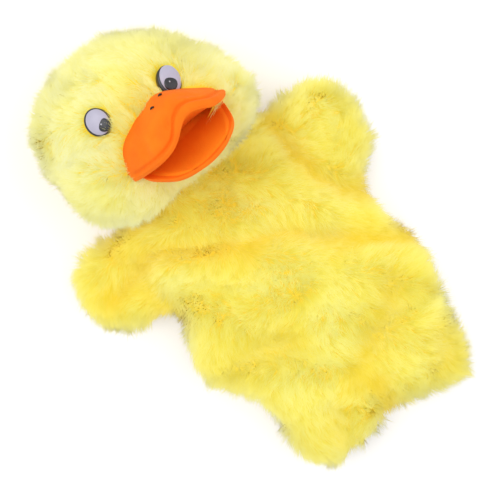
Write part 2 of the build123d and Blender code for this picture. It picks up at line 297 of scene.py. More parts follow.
# The flat outline of the body and wings, from the neck round the puppet's right side to its left.
BODY_OUTLINE = [
    (0, 66),
    (-34, 64),
    (-54, 54),
    (-72, 56),
    (-90, 54),
    (-97, 47),
    (-101, 34),
    (-101, 20),
    (-98, 12),
    (-88, 4),
    (-78, -0.5),
    (-63, -6),
    (-64, -15),
    (-68, -24),
    (-74, -36),
    (-75, -50),
    (-69, -63),
    (-61, -76),
    (-58, -90),
    (-61, -104),
    (-63, -118),
    (-59, -130),
    (-48, -138),
    (-30, -141),
    (-14, -139),
    (-4, -134),
    (8, -138),
    (20, -143),
    (36, -150),
    (46, -151),
    (52, -144),
    (58, -133),
    (61, -120),
    (65, -106),
    (72, -92),
    (75, -80),
    (75, -62),
    (74, -44),
    (72, -28),
    (78, -19),
    (90, -12),
    (98, -2),
    (102, 12),
    (103, 26),
    (98, 40),
    (90, 47),
    (76, 50),
    (58, 50),
    (46, 58),
    (30, 64),
]
BODY_INSET = 2.5
GRID = 2.6
EDGE_ROUND = 26.0
SEAM_HEIGHT = 10.0
# How far the upper side rises at the edges, how much more over the chest, and how uneven it is.
EDGE_PUFF = 15
CHEST_PUFF = 17
LUMPS = 2.6
# The share of a fold's length over which it fades out at each end.
FOLD_END = 0.12

BODY_LINE = inset(smooth_closed(BODY_OUTLINE, 8), BODY_INSET)

# Folds: the line of each one, its depth (negative for a valley) and its half width.
FOLDS = [
    ([(-80, 27), (-66, 26), (-50, 29)], -7, 7),
    ([(-50, 32), (-38, 25), (-25, 16), (-13, 6)], -7, 6),
    ([(-52, 20), (-42, 15), (-32, 8), (-18, 2), (-8, -4), (0, -8)], 5, 5),
    ([(-4, -2), (12, -7), (18, -10), (28, -21), (38, -33), (48, -43), (58, -53), (68, -60)], -8, 7),
    ([(6, 8), (22, 2), (36, -10), (50, -24)], 4, 10),
    ([(52, 40), (51, 15), (54, 0), (60, -13), (68, -22)], -9, 6),
    ([(-50, -52), (-36, -55), (-22, -58)], -3, 9),
    ([(-4, -106), (3, -95), (28, -90), (44, -75)], -4.5, 7),
    ([(-2, -136), (0, -122), (2, -110)], -6, 6),
    ([(-36, -120), (-26, -112)], -3, 8),
    ([(40, -128), (46, -118)], -3, 8),
    ([(-60, 48), (-58, 30), (-60, 6), (-62, -4)], -4, 7),
    ([(-55, 56), (-45, 47), (-30, 43)], -5, 5),
]


def body_height(points, outline):
    """The height of the body's upper side over each point, in millimetres."""
    edge, _ = near_segments(points, np.vstack([outline, outline[:1]]))
    reach = np.clip(edge / EDGE_ROUND, 0, 1)
    profile = np.sqrt(1 - (1 - reach) ** 2)
    full = EDGE_PUFF + CHEST_PUFF * np.exp(-(((points[:, 0] - 2) / 62) ** 2) - ((points[:, 1] + 12) / 74) ** 2)
    full += 2.5 * np.exp(-(((points[:, 1] + 128) / 22) ** 2))
    lump = np.array([noise.noise(Vector((x / 26, y / 26, 3.1))) for x, y in points])
    height = SEAM_HEIGHT + full * profile + LUMPS * lump * profile
    for line, depth, width in FOLDS:
        gap, along = near_segments(points, np.array(line, float))
        fade = np.clip(np.minimum(along, 1 - along) / FOLD_END, 0, 1) * 0.5 + 0.5
        height += depth * fade * np.exp(-((gap / width) ** 2)) * profile
    return height


def body_mesh():
    """A closed skin over the body's outline: an upper side with its folds and a lower side on the table."""
    outline = BODY_LINE
    xs = np.arange(-110, 112, GRID)
    ys = np.arange(-158, 72, GRID)
    gx, gy = np.meshgrid(xs, ys, indexing="ij")
    flat = np.stack([gx.ravel(), gy.ravel()], 1)
    keep = inside_outline(flat, outline).reshape(gx.shape)
    cell = keep[:-1, :-1] & keep[1:, :-1] & keep[:-1, 1:] & keep[1:, 1:]
    used = np.zeros_like(keep)
    for dx in (0, 1):
        for dy in (0, 1):
            used[dx : dx + cell.shape[0], dy : dy + cell.shape[1]] |= cell
    count = np.zeros(keep.shape, int)
    for dx in (0, 1):
        for dy in (0, 1):
            count[dx : dx + cell.shape[0], dy : dy + cell.shape[1]] += cell
    rim = used & (count < 4)
    index = -np.ones(keep.shape, int)
    index[used] = np.arange(used.sum())
    plan = np.stack([gx[used], gy[used]], 1)
    is_rim = rim[used]
    closed = np.vstack([outline, outline[:1]])
    for i in np.nonzero(is_rim)[0]:
        gaps = np.linalg.norm(outline - plan[i], axis=1)
        j = int(gaps.argmin())
        plan[i] = outline[j]
    top = body_height(plan, outline)
    edge, _ = near_segments(plan, closed)
    reach = np.clip(edge / 14, 0, 1)
    low = SEAM_HEIGHT - (SEAM_HEIGHT - 2.5) * np.sqrt(1 - (1 - reach) ** 2)
    top[is_rim] = SEAM_HEIGHT
    low[is_rim] = SEAM_HEIGHT
    n = len(plan)
    below = np.where(is_rim, np.arange(n), -1)
    inner = np.nonzero(~is_rim)[0]
    below[inner] = n + np.arange(len(inner))
    points = [(x, y, z) for (x, y), z in zip(plan, top)]
    points += [(plan[i][0], plan[i][1], low[i]) for i in inner]
    faces = []
    for i, j in zip(*np.nonzero(cell)):
        quad = [index[i, j], index[i + 1, j], index[i + 1, j + 1], index[i, j + 1]]
        faces.append(quad)
        faces.append([below[q] for q in reversed(quad)])
    return np.array(points), faces


def floor_collider():
    bpy.ops.mesh.primitive_plane_add(size=2, location=(0, 0, 0))
    plane = bpy.context.object
    plane.name = "settling_table"
    plane.modifiers.new("collision", "COLLISION")
    plane.collision.thickness_outer = 0.002
    plane.collision.cloth_friction = 20
    return plane


def settle(obj, pinned, frames, pressure):
    """Lets a skin sag and wrinkle on the table as cloth with a little air in it."""
    group = obj.vertex_groups.new(name="pin")
    group.add([int(i) for i in pinned], 1.0, "REPLACE")
    cloth = obj.modifiers.new("cloth", "CLOTH")
    cloth.settings.quality = 6
    cloth.settings.mass = 0.25
    cloth.settings.tension_stiffness = 25
    cloth.settings.compression_stiffness = 8
    cloth.settings.shear_stiffness = 6
    cloth.settings.bending_stiffness = 0.6
    cloth.settings.air_damping = 3
    cloth.settings.shrink_min = -0.02
    cloth.settings.use_pressure = True
    cloth.settings.uniform_pressure_force = pressure
    cloth.settings.vertex_group_mass = "pin"
    cloth.collision_settings.use_collision = True
    cloth.collision_settings.distance_min = 0.0015
    cloth.collision_settings.use_self_collision = False
    scene = bpy.context.scene
    scene.frame_start, scene.frame_end = 1, frames
    cloth.point_cache.frame_start, cloth.point_cache.frame_end = 1, frames
    for f in range(1, frames + 1):
        scene.frame_set(f)
    apply_modifiers(obj)
    scene.frame_set(1)
    return obj


PINNED_ABOVE = 55
SETTLE_FRAMES = 16
SETTLE_PRESSURE = 0.35

points, faces = body_mesh()
body_skin = make_mesh("body_skin", points, faces, SKIN)
table_top = floor_collider()
plan = points_of(body_skin)
settle(body_skin, np.nonzero(plan[:, 1] > PINNED_ABOVE)[0], SETTLE_FRAMES, SETTLE_PRESSURE)
bpy.data.objects.remove(table_top)
smoother = body_skin.modifiers.new("smooth", "CORRECTIVE_SMOOTH")
smoother.iterations = 3
smoother.use_only_smooth = True
apply_modifiers(body_skin)

# ---------------------------------------------------------------- the head

# The head's outline seen from the front, from the puppet's left cheek over the crown to its right cheek.
HEAD_CENTRE = np.array([-2.0, 95.5, 45.0])
HEAD_OUTLINE = [
    (66, 72),
    (64.5, 64),
    (60, 55),
    (50, 48),
    (36, 44),
    (18, 44),
    (0, 44),
    (-20, 44),
    (-36, 46),
    (-50, 53),
    (-59, 60),
    (-62.5, 68),
    (-65, 80),
    (-65.5, 92),
    (-66, 100),
    (-65, 110),
    (-61, 122),
    (-55, 131),
    (-45, 138),
    (-30, 144),
    (-15, 147.5),
    (0, 148),
    (14, 145),
    (28, 138),
    (38, 129),
    (46, 119),
    (51, 108),
    (57, 97),
    (62, 85),
]
HEAD_HEIGHT = 45.0
PILE_INSET = 7.0


def head_point(theta, phi, reach):
    """A point of the head's skin in a direction, where reach is the outline's distance that way."""
    flat = reach * math.cos(phi) ** 0.92
    return np.array(
        [
            HEAD_CENTRE[0] + flat * math.cos(theta),
            HEAD_CENTRE[1] + flat * math.sin(theta),
            max(2.0, HEAD_CENTRE[2] + HEAD_HEIGHT * math.sin(phi)),
        ]
    )


def head_mesh():
    """The head's skin as a closed ball round its centre line, squashed flat where it lies."""
    outline = smooth_closed(HEAD_OUTLINE, 6)
    flat = outline - HEAD_CENTRE[:2]
    size = np.linalg.norm(flat, axis=1)[:, None]
    flat *= (size - PILE_INSET) / size
    angles = np.arctan2(flat[:, 1], flat[:, 0])
    reaches = np.linalg.norm(flat, axis=1)
    order = angles.argsort()
    around, rows = 120, 60
    thetas = np.linspace(-math.pi, math.pi, around, endpoint=False)
    reach = np.interp(thetas, angles[order], reaches[order], period=2 * math.pi)
    points = [head_point(0, -math.pi / 2, 0)]
    for row in range(1, rows):
        phi = -math.pi / 2 + math.pi * row / rows
        points += [head_point(t, phi, r) for t, r in zip(thetas, reach)]
    points.append(head_point(0, math.pi / 2, 0))
    faces = []
    for i in range(around):
        j = (i + 1) % around
        faces.append((0, 1 + j, 1 + i))
        for row in range(rows - 2):
            a = 1 + row * around
            faces.append((a + i, a + j, a + around + j, a + around + i))
        last = 1 + (rows - 2) * around
        faces.append((last + i, last + j, len(points) - 1))
    return np.array(points), faces


def shape_head(points):
    """Soft unevenness and the swelling round the bill's root."""
    out = points.copy()
    outward = points - HEAD_CENTRE
    outward /= np.linalg.norm(outward, axis=1)[:, None]
    lump = np.array([noise.noise(Vector(p / 30.0)) for p in points])
    out += outward * (1.6 * lump)[:, None]
    local = (points - MOUTH) @ UPPER
    ring = np.hypot(local[:, 0] / 42, (local[:, 1] - 6) / 30)
    out += outward * (3.0 * np.exp(-(((ring - 1.15) / 0.3) ** 2)) * (points[:, 2] > 50))[:, None]
    out[:, 2] = np.maximum(out[:, 2], 2.0)
    return out


points, faces = head_mesh()
head_skin = make_mesh("head_skin", shape_head(points), faces, SKIN)

# ---------------------------------------------------------------- splitting skins into pieces that move


def keep_part(source, name, keep):
    """A copy of a skin that has only the faces whose middles pass the test."""
    data = source.data.copy()
    data.name = name
    obj = bpy.data.objects.new(name, data)
    bpy.context.scene.collection.objects.link(obj)
    mesh = bmesh.new()
    mesh.from_mesh(data)
    gone = [f for f in mesh.faces if not keep(np.array(f.calc_center_median()) / MM)]
    bmesh.ops.delete(mesh, geom=gone, context="FACES")
    mesh.to_mesh(data)
    mesh.free()
    return obj


# Only what is above this height belongs to the face.
FACE_LOW = 50
# Where the eyes sit on the head, seen from the front.
EYE_PLACES = {"right": (-18.8, 102.1), "left": (25.9, 94.5)}
EYE_CLEARING = 8.2
LEFT_ROOT = np.array([(56.0, 60.0), (72.0, -27.0)])


def beyond_root(p, root):
    """How far a point lies outside a wing's root line, in millimetres."""
    d = root[1] - root[0]
    d = d / np.linalg.norm(d)
    return (p[0] - root[0][0]) * -d[1] + (p[1] - root[0][1]) * d[0]


def is_right_wing(p):
    return p[0] < -58 and p[1] > -6.5


def is_left_wing(p):
    return beyond_root(p, LEFT_ROOT) > 0 and p[1] > -28


# The head's skin begins above this line, and the facing ends below the next.
NECK_Y = 44.0
FACING_TOP = -112.0
HEM_TOP = -126
HEM_STRIP = 3.0


def at_hem_opening(p):
    """The strip along the bottom edge where the hand goes in between the two layers."""
    return p[1] < HEM_TOP and near_segments(p[None, :2], BODY_LINE)[0][0] < HEM_STRIP


def is_neck(p):
    return p[1] > NECK_Y and not is_right_wing(p) and not is_left_wing(p)


def in_bill(points, grow=0.0):
    """True for the points inside the bill's root, where the head has an opening for the mouth."""
    local = (np.atleast_2d(points) - MOUTH) @ UPPER
    x, y = local[:, 0], local[:, 1]
    below = (x / (27 + grow)) ** 2 + (y / (6 + grow)) ** 2
    half = np.where(x > 0, 30 + grow, 31 + grow)
    power = np.where(x > 0, 1.6, 3.0)
    above = np.abs(x / half) ** power + np.abs(y / (20 + grow)) ** power
    return (np.where(y < 0, below, above) < 1) & (np.atleast_2d(points)[:, 2] > FACE_LOW)


def is_chin(p):
    """The part of the head below the mouth, which moves partly with the jaw."""
    local = (p - MOUTH) @ UPPER
    return local[1] < 0 and abs(local[0]) < 46 and p[2] > 22


right_wing_skin = keep_part(body_skin, "right_wing_skin", is_right_wing)
left_wing_skin = keep_part(body_skin, "left_wing_skin", is_left_wing)
neck_skin = keep_part(body_skin, "neck_skin", is_neck)
torso_skin = keep_part(
    body_skin,
    "torso_skin",
    lambda p: not (is_right_wing(p) or is_left_wing(p) or is_neck(p) or at_hem_opening(p)),
)
facing = keep_part(body_skin, "facing", lambda p: p[1] < FACING_TOP and not at_hem_opening(p))
bpy.data.objects.remove(body_skin)
thin = facing.modifiers.new("inside", "DISPLACE")
thin.mid_level = 0.0
thin.strength = -2.0 * MM
apply_modifiers(facing)
facing.data.materials[0] = FACING_CLOTH
chin_skin = keep_part(head_skin, "chin_skin", lambda p: is_chin(p) and not in_bill(p)[0])
crown_skin = keep_part(head_skin, "crown_skin", lambda p: not is_chin(p) and not in_bill(p)[0])
bpy.data.objects.remove(head_skin)

# ---------------------------------------------------------------- fur


def fur_roots(obj, spacing, rng, allowed):
    """Evenly scattered points on a skin, with the skin's normal at each."""
    data = obj.data
    data.calc_loop_triangles()
    tris = np.empty(len(data.loop_triangles) * 3, int)
    data.loop_triangles.foreach_get("vertices", tris)
    tris = tris.reshape(-1, 3)
    co = points_of(obj)
    a, b, c = co[tris[:, 0]], co[tris[:, 1]], co[tris[:, 2]]
    cross = np.cross(b - a, c - a)
    area = np.linalg.norm(cross, axis=1) / 2
    normals = np.empty(len(data.vertices) * 3)
    data.vertex_normals.foreach_get("vector", normals)
    normals = normals.reshape(-1, 3)
    number = int(area.sum() / spacing**2)
    pick = rng.choice(len(tris), number, p=area / area.sum())
    u, v = rng.random(number), rng.random(number)
    flip = u + v > 1
    u[flip], v[flip] = 1 - u[flip], 1 - v[flip]
    w = 1 - u - v
    root = a[pick] * w[:, None] + b[pick] * u[:, None] + c[pick] * v[:, None]
    normal = (
        normals[tris[pick, 0]] * w[:, None]
        + normals[tris[pick, 1]] * u[:, None]
        + normals[tris[pick, 2]] * v[:, None]
    )
    normal /= np.linalg.norm(normal, axis=1)[:, None] + 1e-9
    good = allowed(root)
    return root[good], normal[good]


def field(points, scale, seed):
    """A smooth random direction at each point."""
    out = np.empty((len(points), 3))
    for k in range(3):
        phase = 2.0 * np.pi * np.array([0.13, 0.37, 0.71, 0.29, 0.53]) * (seed + k + 1)
        waves = np.zeros(len(points))
        for m, ph in enumerate(phase):
            direction = np.array(
                [math.cos(1.9 * m + seed + k), math.sin(2.3 * m + 2 * seed + k), math.cos(3.1 * m + k)]
            )
            waves += np.sin(points @ direction / scale * (1 + 0.45 * m) + ph)
        out[:, k] = waves / 2.2
    return out


def grow_fur(obj, name, spacing, length, lean, seed, allowed, tones, width, deep):
    """Strands of fur on a skin: short curved blades gathered into soft tufts."""
    rng = np.random.default_rng(seed)
    root, normal = fur_roots(obj, spacing, rng, allowed)
    n = len(root)
    tuft = np.floor(root / TUFT + TUFT_WARP * field(root, TUFT_WARP_SIZE, seed)).astype(int)
    key = (tuft * HASH_PRIMES).sum(1) % TUFT_KINDS
    unit = rng.random((TUFT_KINDS, 3)) * 2 - 1
    swirl = unit[key]
    flow = lean(root) + WANDER * field(root, WANDER_SIZE, seed + 7) + TUFT_SWIRL * swirl
    flow -= (flow * normal).sum(1)[:, None] * normal
    long = length * (0.72 + 0.5 * rng.random(n)) * (1 + 0.18 * swirl[:, 0])
    centre = (np.floor(root / TUFT) + 0.5) * TUFT
    pull = centre - root
    pull -= (pull * normal).sum(1)[:, None] * normal
    stray = rng.normal(0, STRAY, (n, 3))
    rise = LEAST_RISE + 0.22 * rng.random(n)
    direction = normal * rise[:, None] + flow * FLOW_SHARE + stray
    direction /= np.linalg.norm(direction, axis=1)[:, None]
    curl = field(root, CURL_SIZE, seed + 3) * CURL
    mid = root + direction * (long * 0.5)[:, None] + pull * MID_GATHER
    bend = direction + flow * 0.4 - normal * DROOP + curl
    bend /= np.linalg.norm(bend, axis=1)[:, None]
    tip = mid + bend * (long * 0.5)[:, None] + pull * TIP_GATHER
    mid[:, 2] = np.maximum(mid[:, 2], MID_FLOOR)
    tip[:, 2] = np.maximum(tip[:, 2], TIP_FLOOR)
    facing = normal + np.array([0, 0, SKY_PULL])
    facing /= np.linalg.norm(facing, axis=1)[:, None] + 1e-9
    side = np.cross(direction, facing + rng.normal(0, 0.14, (n, 3)))
    side /= np.linalg.norm(side, axis=1)[:, None] + 1e-9
    turned = (np.cross(side, direction) * facing).sum(1) < 0
    side[turned] *= -1
    base = root - normal * ROOT_DEPTH
    half = width / 2
    verts = np.empty((n, 5, 3), np.float32)
    verts[:, 0] = base - side * half
    verts[:, 1] = base + side * half
    verts[:, 2] = mid - side * half * 0.8
    verts[:, 3] = mid + side * half * 0.8
    verts[:, 4] = tip
    data = bpy.data.meshes.new(name)
    data.vertices.add(n * 5)
    data.vertices.foreach_set("co", (verts * MM).ravel())
    start = (np.arange(n) * 5)[:, None]
    quad = start + np.array([[0, 1, 3, 2]])
    tri = start + np.array([[2, 3, 4]])
    loops = np.concatenate([quad, tri], 1).ravel()
    data.loops.add(n * 7)
    data.loops.foreach_set("vertex_index", loops.astype(np.int32))
    data.polygons.add(n * 2)
    starts = (np.arange(n)[:, None] * 7 + np.array([[0, 4]])).ravel()
    data.polygons.foreach_set("loop_start", starts.astype(np.int32))
    data.update(calc_edges=True)
    data.polygons.foreach_set("use_smooth", np.ones(n * 2, bool))
    shade = 0.5 + 0.14 * swirl[:, 1] + 0.25 * field(root, 14.0, seed + 5)[:, 0]
    shade = np.clip(shade + rng.normal(0, 0.08, n), 0, 1)
    # Painted shade: fur in the body's folds and round the bill's root is painted towards a deeper gold.
    painted_shade = PAINTED_SHADE_SHARE * deep(root)
    # Painted light: where the skin turns away from the sky, the fur is painted paler, most at the tips, as a
    # painted sheen along the sides.
    edge = 0.8 * (1 - np.clip(normal[:, 2], 0, 1)) ** 1.5
    tone = np.empty((n, 5, 4), np.float32)
    tone[:, :, 3] = 1
    for k in range(3):
        mid_tone = tones["mid dark"][k] + (tones["mid light"][k] - tones["mid dark"][k]) * shade
        tip_tone = tones["tip dark"][k] + (tones["tip light"][k] - tones["tip dark"][k]) * shade
        mid_tone += (PAINTED_SHEEN_TONE[k] - mid_tone) * edge * 0.6
        tip_tone += (PAINTED_SHEEN_TONE[k] - tip_tone) * edge
        tone[:, 0, k] = tone[:, 1, k] = tones["root"][k]
        tone[:, 2, k] = tone[:, 3, k] = mid_tone + (PAINTED_SHADE_TONE[k] - mid_tone) * painted_shade
        tone[:, 4, k] = tip_tone + (PAINTED_SHADE_TONE[k] - tip_tone) * painted_shade * 0.8
    soft = facing + 0.25 * direction + 0.1 * swirl
    soft /= np.linalg.norm(soft, axis=1)[:, None]
    soft = np.repeat(soft, 5, axis=0)
    data.normals_split_custom_set_from_vertices(soft.tolist())
    layer = data.color_attributes.new("strand", "FLOAT_COLOR", "POINT")
    layer.data.foreach_set("color", tone.ravel())
    data.materials.append(FUR)
    fur = bpy.data.objects.new(name, data)
    bpy.context.scene.collection.objects.link(fur)
    # Light passes through the thin strands, so they don't darken each other or the table.
    fur.visible_shadow = False
    fur.visible_diffuse = False
    return fur


def body_fold_shade(p):
    """Painted shade for the fur in the body's folds, from 0 to 1: more in the deeper folds."""
    deep = np.zeros(len(p))
    for line, depth, width in FOLDS:
        if depth < 0:
            gap, _ = near_segments(p[:, :2], line)
            deep = np.maximum(deep, np.exp(-((gap / (1.3 * width)) ** 2)) * min(1.0, -depth / 7))
    return deep


def bill_root_shade(p):
    """Painted shade: the head's fur is painted a little deeper gold round the bill's root."""
    return 0.35 * np.exp(-(np.linalg.norm((p - MOUTH)[:, :2], axis=1) / 40) ** 4)


# Tufts: their size, how far their edges wander, and how many kinds there are.
TUFT = 5.5
TUFT_WARP = 0.35
TUFT_WARP_SIZE = 5.0
TUFT_KINDS = 100003
TUFT_SWIRL = 0.3
HASH_PRIMES = np.array([73856093, 19349663, 83492791])
# Strands: how their lie wanders over the skin, how steeply they rise, and how they bend and curl.
WANDER = 0.45
WANDER_SIZE = 16.0
STRAY = 0.1
LEAST_RISE = 0.42
FLOW_SHARE = 0.75
DROOP = 0.22
CURL = 0.16
CURL_SIZE = 3.2
# How far the strands of a tuft come together at their middles and tips.
MID_GATHER = 0.12
TIP_GATHER = 0.22
# Strands start this deep in the skin, and stay this far above the table.
ROOT_DEPTH = 0.8
MID_FLOOR = 0.6
TIP_FLOOR = 0.5
# Blades are turned and shaded a little towards the sky.
SKY_PULL = 0.9
# Painted shade: how far fur in the hollows is painted towards a deeper gold, and that gold.
PAINTED_SHADE_SHARE = 0.8
PAINTED_SHADE_TONE = (0.83, 0.56, 0.016)
# Painted light: the pale tone painted on fur at the sides, as a painted sheen.
PAINTED_SHEEN_TONE = (0.82, 0.8, 0.42)
BODY_TONES = {
    "root": (0.84, 0.66, 0.04),
    "mid dark": (0.84, 0.7, 0.06),
    "mid light": (0.86, 0.78, 0.13),
    "tip dark": (0.85, 0.76, 0.13),
    "tip light": (0.86, 0.83, 0.3),
}
HEAD_TONES = {
    "root": (0.82, 0.72, 0.1),
    "mid dark": (0.8, 0.74, 0.15),
    "mid light": (0.8, 0.77, 0.3),
    "tip dark": (0.8, 0.77, 0.28),
    "tip light": (0.8, 0.79, 0.46),
}
DENSITY = 0.62
WIDTH = 0.3


def lean_down(p):
    """Fur on the body lies towards the hem and outwards."""
    out = np.zeros_like(p)
    out[:, 0] = p[:, 0] / 160
    out[:, 1] = -0.45
    return out


def lean_out(p):
    """Fur on the head lies away from the middle of the face."""
    d = p - MOUTH
    d[:, 2] *= 0.3
    return 0.55 * d / (np.linalg.norm(d, axis=1)[:, None] + 1e-9)


def lean_wing(p):
    """Fur on a wing lies towards its tip."""
    out = np.zeros_like(p)
    out[:, 0] = np.sign(p[:, 0]) * 0.5
    out[:, 1] = -0.2
    return out


def body_fur_spots(p):
    """Fur grows on the body except where it would stand inside the head."""
    inside = (p[:, 0] + 2) ** 2 / 58**2 + (p[:, 1] - 95) ** 2 / 44**2 + (p[:, 2] - 45) ** 2 / 41**2
    return inside > 1


def head_fur_spots(p):
    """Fur grows on the head except under the bill and the eyes."""
    good = ~in_bill(p, 2.0)
    for x, y in EYE_PLACES.values():
        near = np.hypot(p[:, 0] - x, p[:, 1] - y)
        good &= (near > EYE_CLEARING) | (p[:, 2] < FACE_LOW)
    return good


def everywhere(p):
    return np.ones(len(p), bool)


def banded(test, axis, low, high):
    return lambda p: test(p) & (p[:, axis] >= low) & (p[:, axis] < high)


def ride_or_blend(obj, rule):
    if rule[0] == "ride":
        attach(obj, rule[1])
    else:
        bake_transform(obj)


def mouth_point(x, y, z, turn=UPPER):
    """A point of the bill's own frame, in metres in the row frame."""
    return tuple((MOUTH + turn @ np.array([x, y, z])) * MM)


TORSO = ("ride", "torso")
HEAD = ("ride", "head")
RIGHT = ("blend", "torso", "right_wing", (-0.058, 0.02, 0.012), (-0.078, 0.02, 0.012))
LEFT = ("blend", "torso", "left_wing", (0.0620, 0.02, 0.012), (0.0820, 0.0237, 0.012))
NECK = ("blend", "torso", "head", (0, 0.044, 0.015), (0, 0.062, 0.015))
CHIN = ("blend", "head", "jaw", mouth_point(0, -4, -36), mouth_point(0, -24, -6))

fur_jobs = [
    (torso_skin, "torso_fur_a", TORSO, 10.0, lean_down, 11, banded(body_fur_spots, 1, -200, -100)),
    (torso_skin, "torso_fur_b", TORSO, 10.0, lean_down, 12, banded(body_fur_spots, 1, -100, -48)),
    (torso_skin, "torso_fur_c", TORSO, 10.0, lean_down, 13, banded(body_fur_spots, 1, -48, 100)),
    (right_wing_skin, "right_wing_fur", RIGHT, 9.5, lean_wing, 21, everywhere),
    (left_wing_skin, "left_wing_fur", LEFT, 9.5, lean_wing, 22, everywhere),
    (neck_skin, "neck_fur", NECK, 9.0, lean_down, 23, body_fur_spots),
    (crown_skin, "head_fur_a", HEAD, 8.5, lean_out, 31, banded(head_fur_spots, 0, -200, -2)),
    (crown_skin, "head_fur_b", HEAD, 8.5, lean_out, 32, banded(head_fur_spots, 0, -2, 200)),
    (chin_skin, "chin_fur", CHIN, 7.5, lean_out, 33, head_fur_spots),
]
for skin_obj, name, rule, length, lean, seed, test in fur_jobs:
    on_head = skin_obj in (crown_skin, chin_skin)
    tones, deep = (HEAD_TONES, bill_root_shade) if on_head else (BODY_TONES, body_fold_shade)
    made = grow_fur(skin_obj, name, DENSITY, length, lean, seed, test, tones, WIDTH, deep)
    ride_or_blend(made, rule)

for obj, rule in (
    (torso_skin, TORSO),
    (right_wing_skin, RIGHT),
    (left_wing_skin, LEFT),
    (neck_skin, NECK),
    (crown_skin, HEAD),
    (chin_skin, CHIN),
):
    ride_or_blend(obj, rule)

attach(facing, "torso")
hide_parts("body_front_panel", "body_back_panel")
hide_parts("hem_facing")
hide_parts("right_wing_front_panel", "right_wing_back_panel", "right_wing_stuffing")
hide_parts("left_wing_front_panel", "left_wing_back_panel", "left_wing_stuffing")
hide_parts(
    "head_back_panel",
    "head_crown_gusset",
    "head_right_panel",
    "head_left_panel",
    "head_stuffing",
    "eye_washers",
)
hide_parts("chin_panel")

# ---------------------------------------------------------------- the bill

def ease(value, start, width):
    """A smooth step from 0 to 1 that begins at start."""
    t = np.clip((value - start) / width, 0, 1)
    return t * t * (3 - 2 * t)


class Bill:
    """One half of the bill in its own frame: x across, y away from the mouth, z towards the tip."""

    def __init__(self, left, right, height, length, left_power, right_power, lip, hollow):
        self.left, self.right, self.height, self.length = left, right, height, length
        self.left_power, self.right_power = left_power, right_power
        self.lip, self.hollow = lip, hollow

    def section(self, t, spread):
        """A point of the cross-section at an angle, where spread shrinks it towards the tip."""
        c, s = math.cos(t), math.sin(t)
        power, half = (self.right_power, self.right) if c > 0 else (self.left_power, self.left)
        x = half * spread * math.copysign(abs(c) ** power, c)
        if s >= 0:
            return x, self.height * spread**0.8 * s**power
        share = abs(x) / (half * spread + 1e-9)
        roll = self.lip * share**4 - self.hollow * (1 - share**2)
        return x, -roll * abs(s) ** 0.5 * min(1.0, spread * 2.2)


UPPER_BILL = Bill(36.5, 35.0, 25.5, 42.0, 0.8, 1.35, 1.5, 2.0)
LOWER_BILL = Bill(33.0, 31.5, 8.5, 41.0, 0.8, 0.8, 1.2, 2.5)
ROWS, AROUND = 90, 220


def bill_mesh(bill, shape, seed):
    """A puffy dome with a rolled lip round its flat inner side."""
    points = []
    for i in range(ROWS + 1):
        alpha = math.pi / 2 * i / ROWS
        spread = math.cos(alpha) ** 0.8 if i < ROWS else 0.0
        z = bill.length * math.sin(alpha)
        points += [[*bill.section(2 * math.pi * j / AROUND, spread), z] for j in range(AROUND)]
    points = np.array(points)
    wobble = np.array([noise.noise(Vector(p / 13.0) + Vector((seed, 0, 0))) for p in points])
    outward = points * np.array([1.0, 1.6, 0.6])
    outward /= np.linalg.norm(outward, axis=1)[:, None] + 1e-9
    points += outward * (0.9 * wobble)[:, None]
    points = shape(points, outward, bill)
    faces = []
    for i in range(ROWS):
        for j in range(AROUND):
            k = (j + 1) % AROUND
            faces.append((i * AROUND + j, i * AROUND + k, (i + 1) * AROUND + k, (i + 1) * AROUND + j))
    return points, faces


def upper_shape(points, outward, bill):
    """The upper lip: a roll along its edge that steps up in the middle, and creases on the right cheek."""
    x, y = points[:, 0], points[:, 1]
    forward = np.clip(points[:, 2] / bill.length, 0, 1)
    outside = ease(y, -0.5, 1.5)
    roll_top = 3.4 + 3.2 * ease(x, -14.0, 12.0) * (1 - 0.7 * ease(x, 12.0, 20.0))
    groove = np.exp(-(((y - roll_top) / 1.1) ** 2)) * ease(forward, 0.1, 0.3)
    bulge = np.exp(-(((y - roll_top * 0.45) / (roll_top * 0.5)) ** 2)) * ease(forward, 0.1, 0.4)
    out = points + outward * (outside * (1.6 * bulge - 1.7 * groove))[:, None]
    for line, depth, width in UPPER_CREASES:
        gap, along = near_segments(points[:, :2], line)
        fade = np.sin(np.pi * np.clip(along, 0.05, 0.95))
        out -= outward * (depth * outside * fade * np.exp(-((gap / width) ** 2)))[:, None]
    out[:, 1] += lip_wave(x, forward)
    return out


def lip_wave(x, forward):
    """The upper lip sags at the mouth's right corner and arches a little left of its middle."""
    return forward * (-2.0 + 9.5 * np.exp(-(((x - 4.0) / 14.0) ** 2))) - 1.5


UPPER_CREASES = [
    ([(-27, 3), (-26, 10), (-21, 17)], 1.6, 2.2),
    ([(-20, 5), (-17, 12), (-10, 17)], 0.9, 2.5),
    ([(-8, 4), (-9, 9), (-6, 14)], 1.5, 2.2),
    ([(-3, 13), (10, 12), (24, 7)], 0.8, 2.4),
]


def lower_shape(points, outward, bill):
    """The lower half is mirrored, and its lip turns outwards a little."""
    out = points.copy()
    forward = np.clip(points[:, 2] / bill.length, 0, 1)
    out[:, 1] += 1.2 * forward**3
    out[:, 1] *= -1
    return out


def placed(points, turn):
    return MOUTH + points @ turn.T


points, faces = bill_mesh(UPPER_BILL, upper_shape, 1.0)
upper_local = points
upper_bill = make_mesh("upper_bill", placed(points, UPPER), faces, ORANGE)
points, faces = bill_mesh(LOWER_BILL, lower_shape, 7.0)
lower_bill = make_mesh("lower_bill", placed(points, LOWER), [face[::-1] for face in faces], ORANGE)


